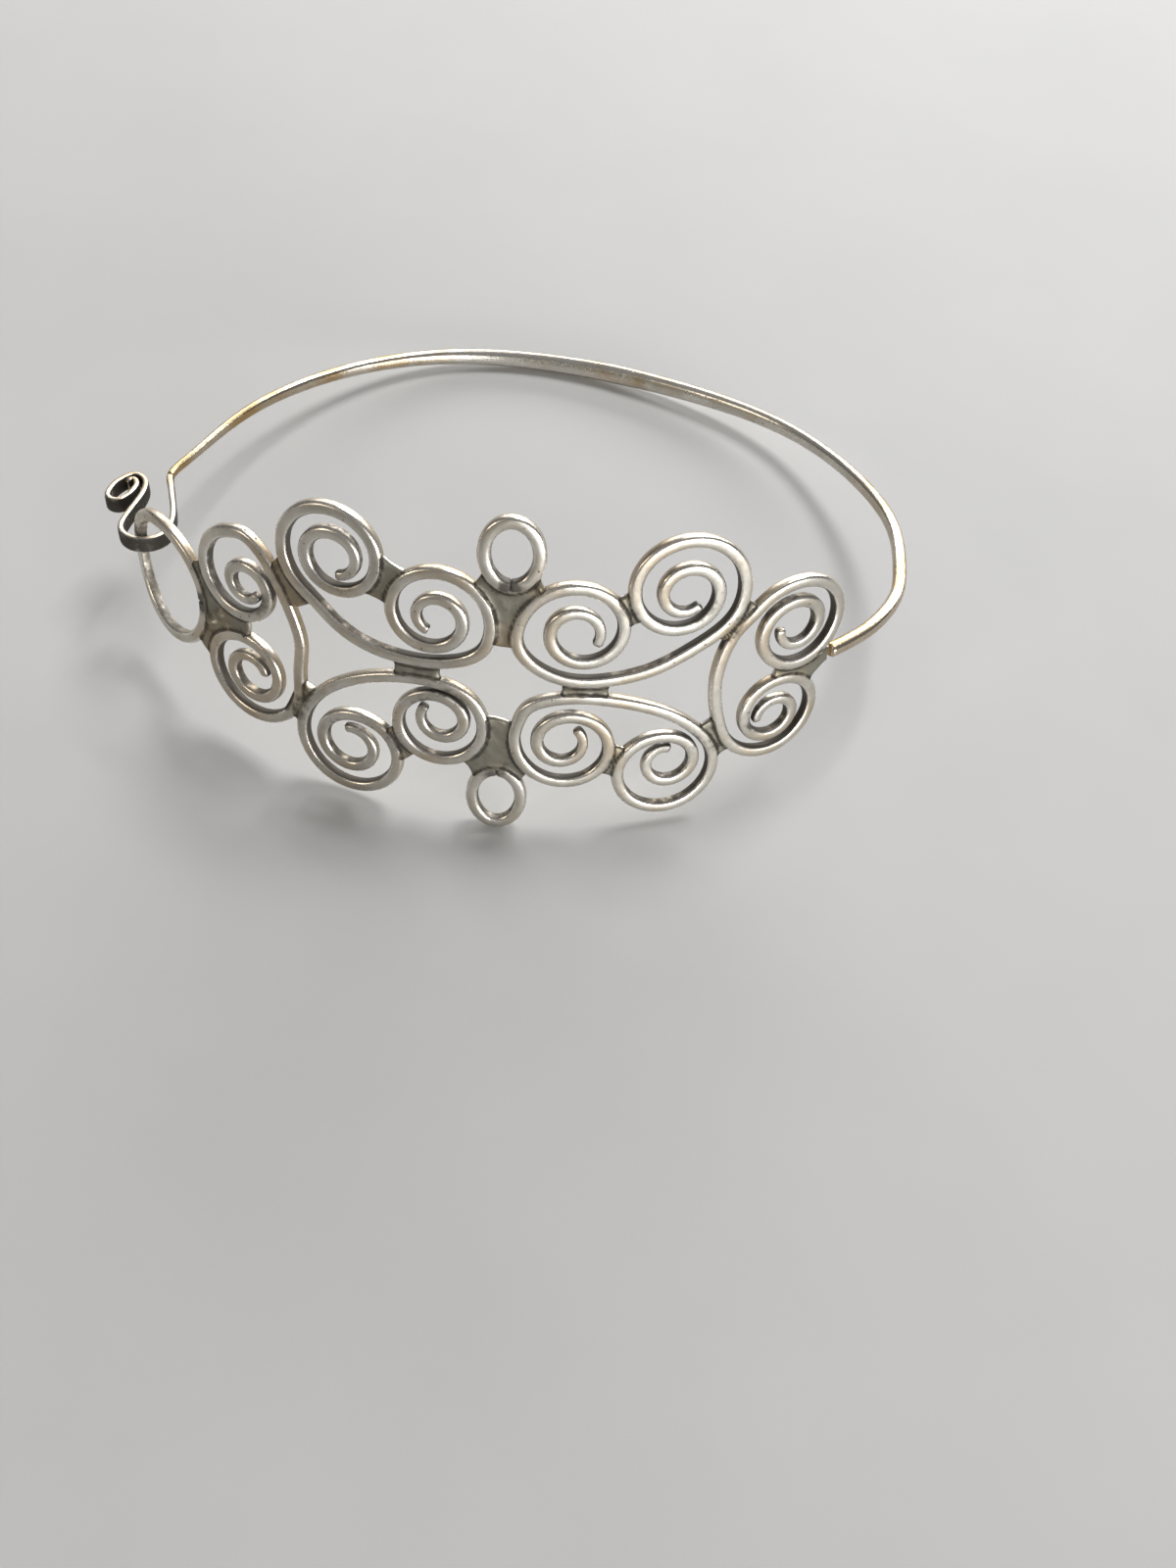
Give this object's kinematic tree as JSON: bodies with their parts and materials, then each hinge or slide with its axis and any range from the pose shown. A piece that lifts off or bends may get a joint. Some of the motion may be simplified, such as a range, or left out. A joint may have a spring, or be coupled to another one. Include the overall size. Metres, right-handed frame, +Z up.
{
  "type": "bangle bracelet",
  "caption": "Wire bangle bracelet: a curved openwork plaque of soldered scrolls and loops, on a springy round band whose flattened hook ends in a curl and catches an oval eye.",
  "frame": {"origin": "centre of the base of the bounding box, on the surface that the bangle rests on", "axes": "+Z up from that surface, +X along the plaque from the clasp towards the band's soldered end, +Y from the plaque to the back of the wrist"},
  "size_m": [0.0674, 0.0514, 0.0264],
  "materials": {
    "scroll_silver": "worn sterling silver with dark oxidation left in the curls",
    "loop_silver": "worn sterling silver",
    "web_silver": "filed silver solder, dull, oxidised beside the wires",
    "band_silver": "polished sterling silver with a warm tarnish",
    "hook_silver": "hammered sterling silver"
  },
  "bodies": {
    "plaque": {"upper_left_scroll": "scroll_silver", "upper_right_scroll": "scroll_silver", "lower_left_scroll": "scroll_silver", "lower_right_scroll": "scroll_silver", "right_end_scroll": "scroll_silver", "left_end_scroll": "scroll_silver", "top_loop": "loop_silver", "bottom_loop": "loop_silver", "clasp_eye": "loop_silver", "upper_left_web": "web_silver", "upper_right_web": "web_silver", "lower_left_web": "web_silver", "lower_right_web": "web_silver", "top_web": "web_silver", "bottom_web": "web_silver", "middle_left_web": "web_silver", "middle_right_web": "web_silver", "right_upper_web": "web_silver", "right_lower_web": "web_silver", "left_upper_web": "web_silver", "left_lower_web": "web_silver", "left_end_web": "web_silver", "right_end_web": "web_silver"},
    "band": {"band_wire": "band_silver", "clasp_hook": "hook_silver"}
  },
  "joints": [
    {"name": "band_spring", "type": "hinge", "parent": "plaque", "child": "band", "pos_m": [0.02664, -0.01211, 0.01155], "axis": [0, 0, -1], "range_deg": [-1.5, 18], "stiffness_Nm_per_rad": 0.154, "deforming": ["clasp_hook"]}
  ]
}
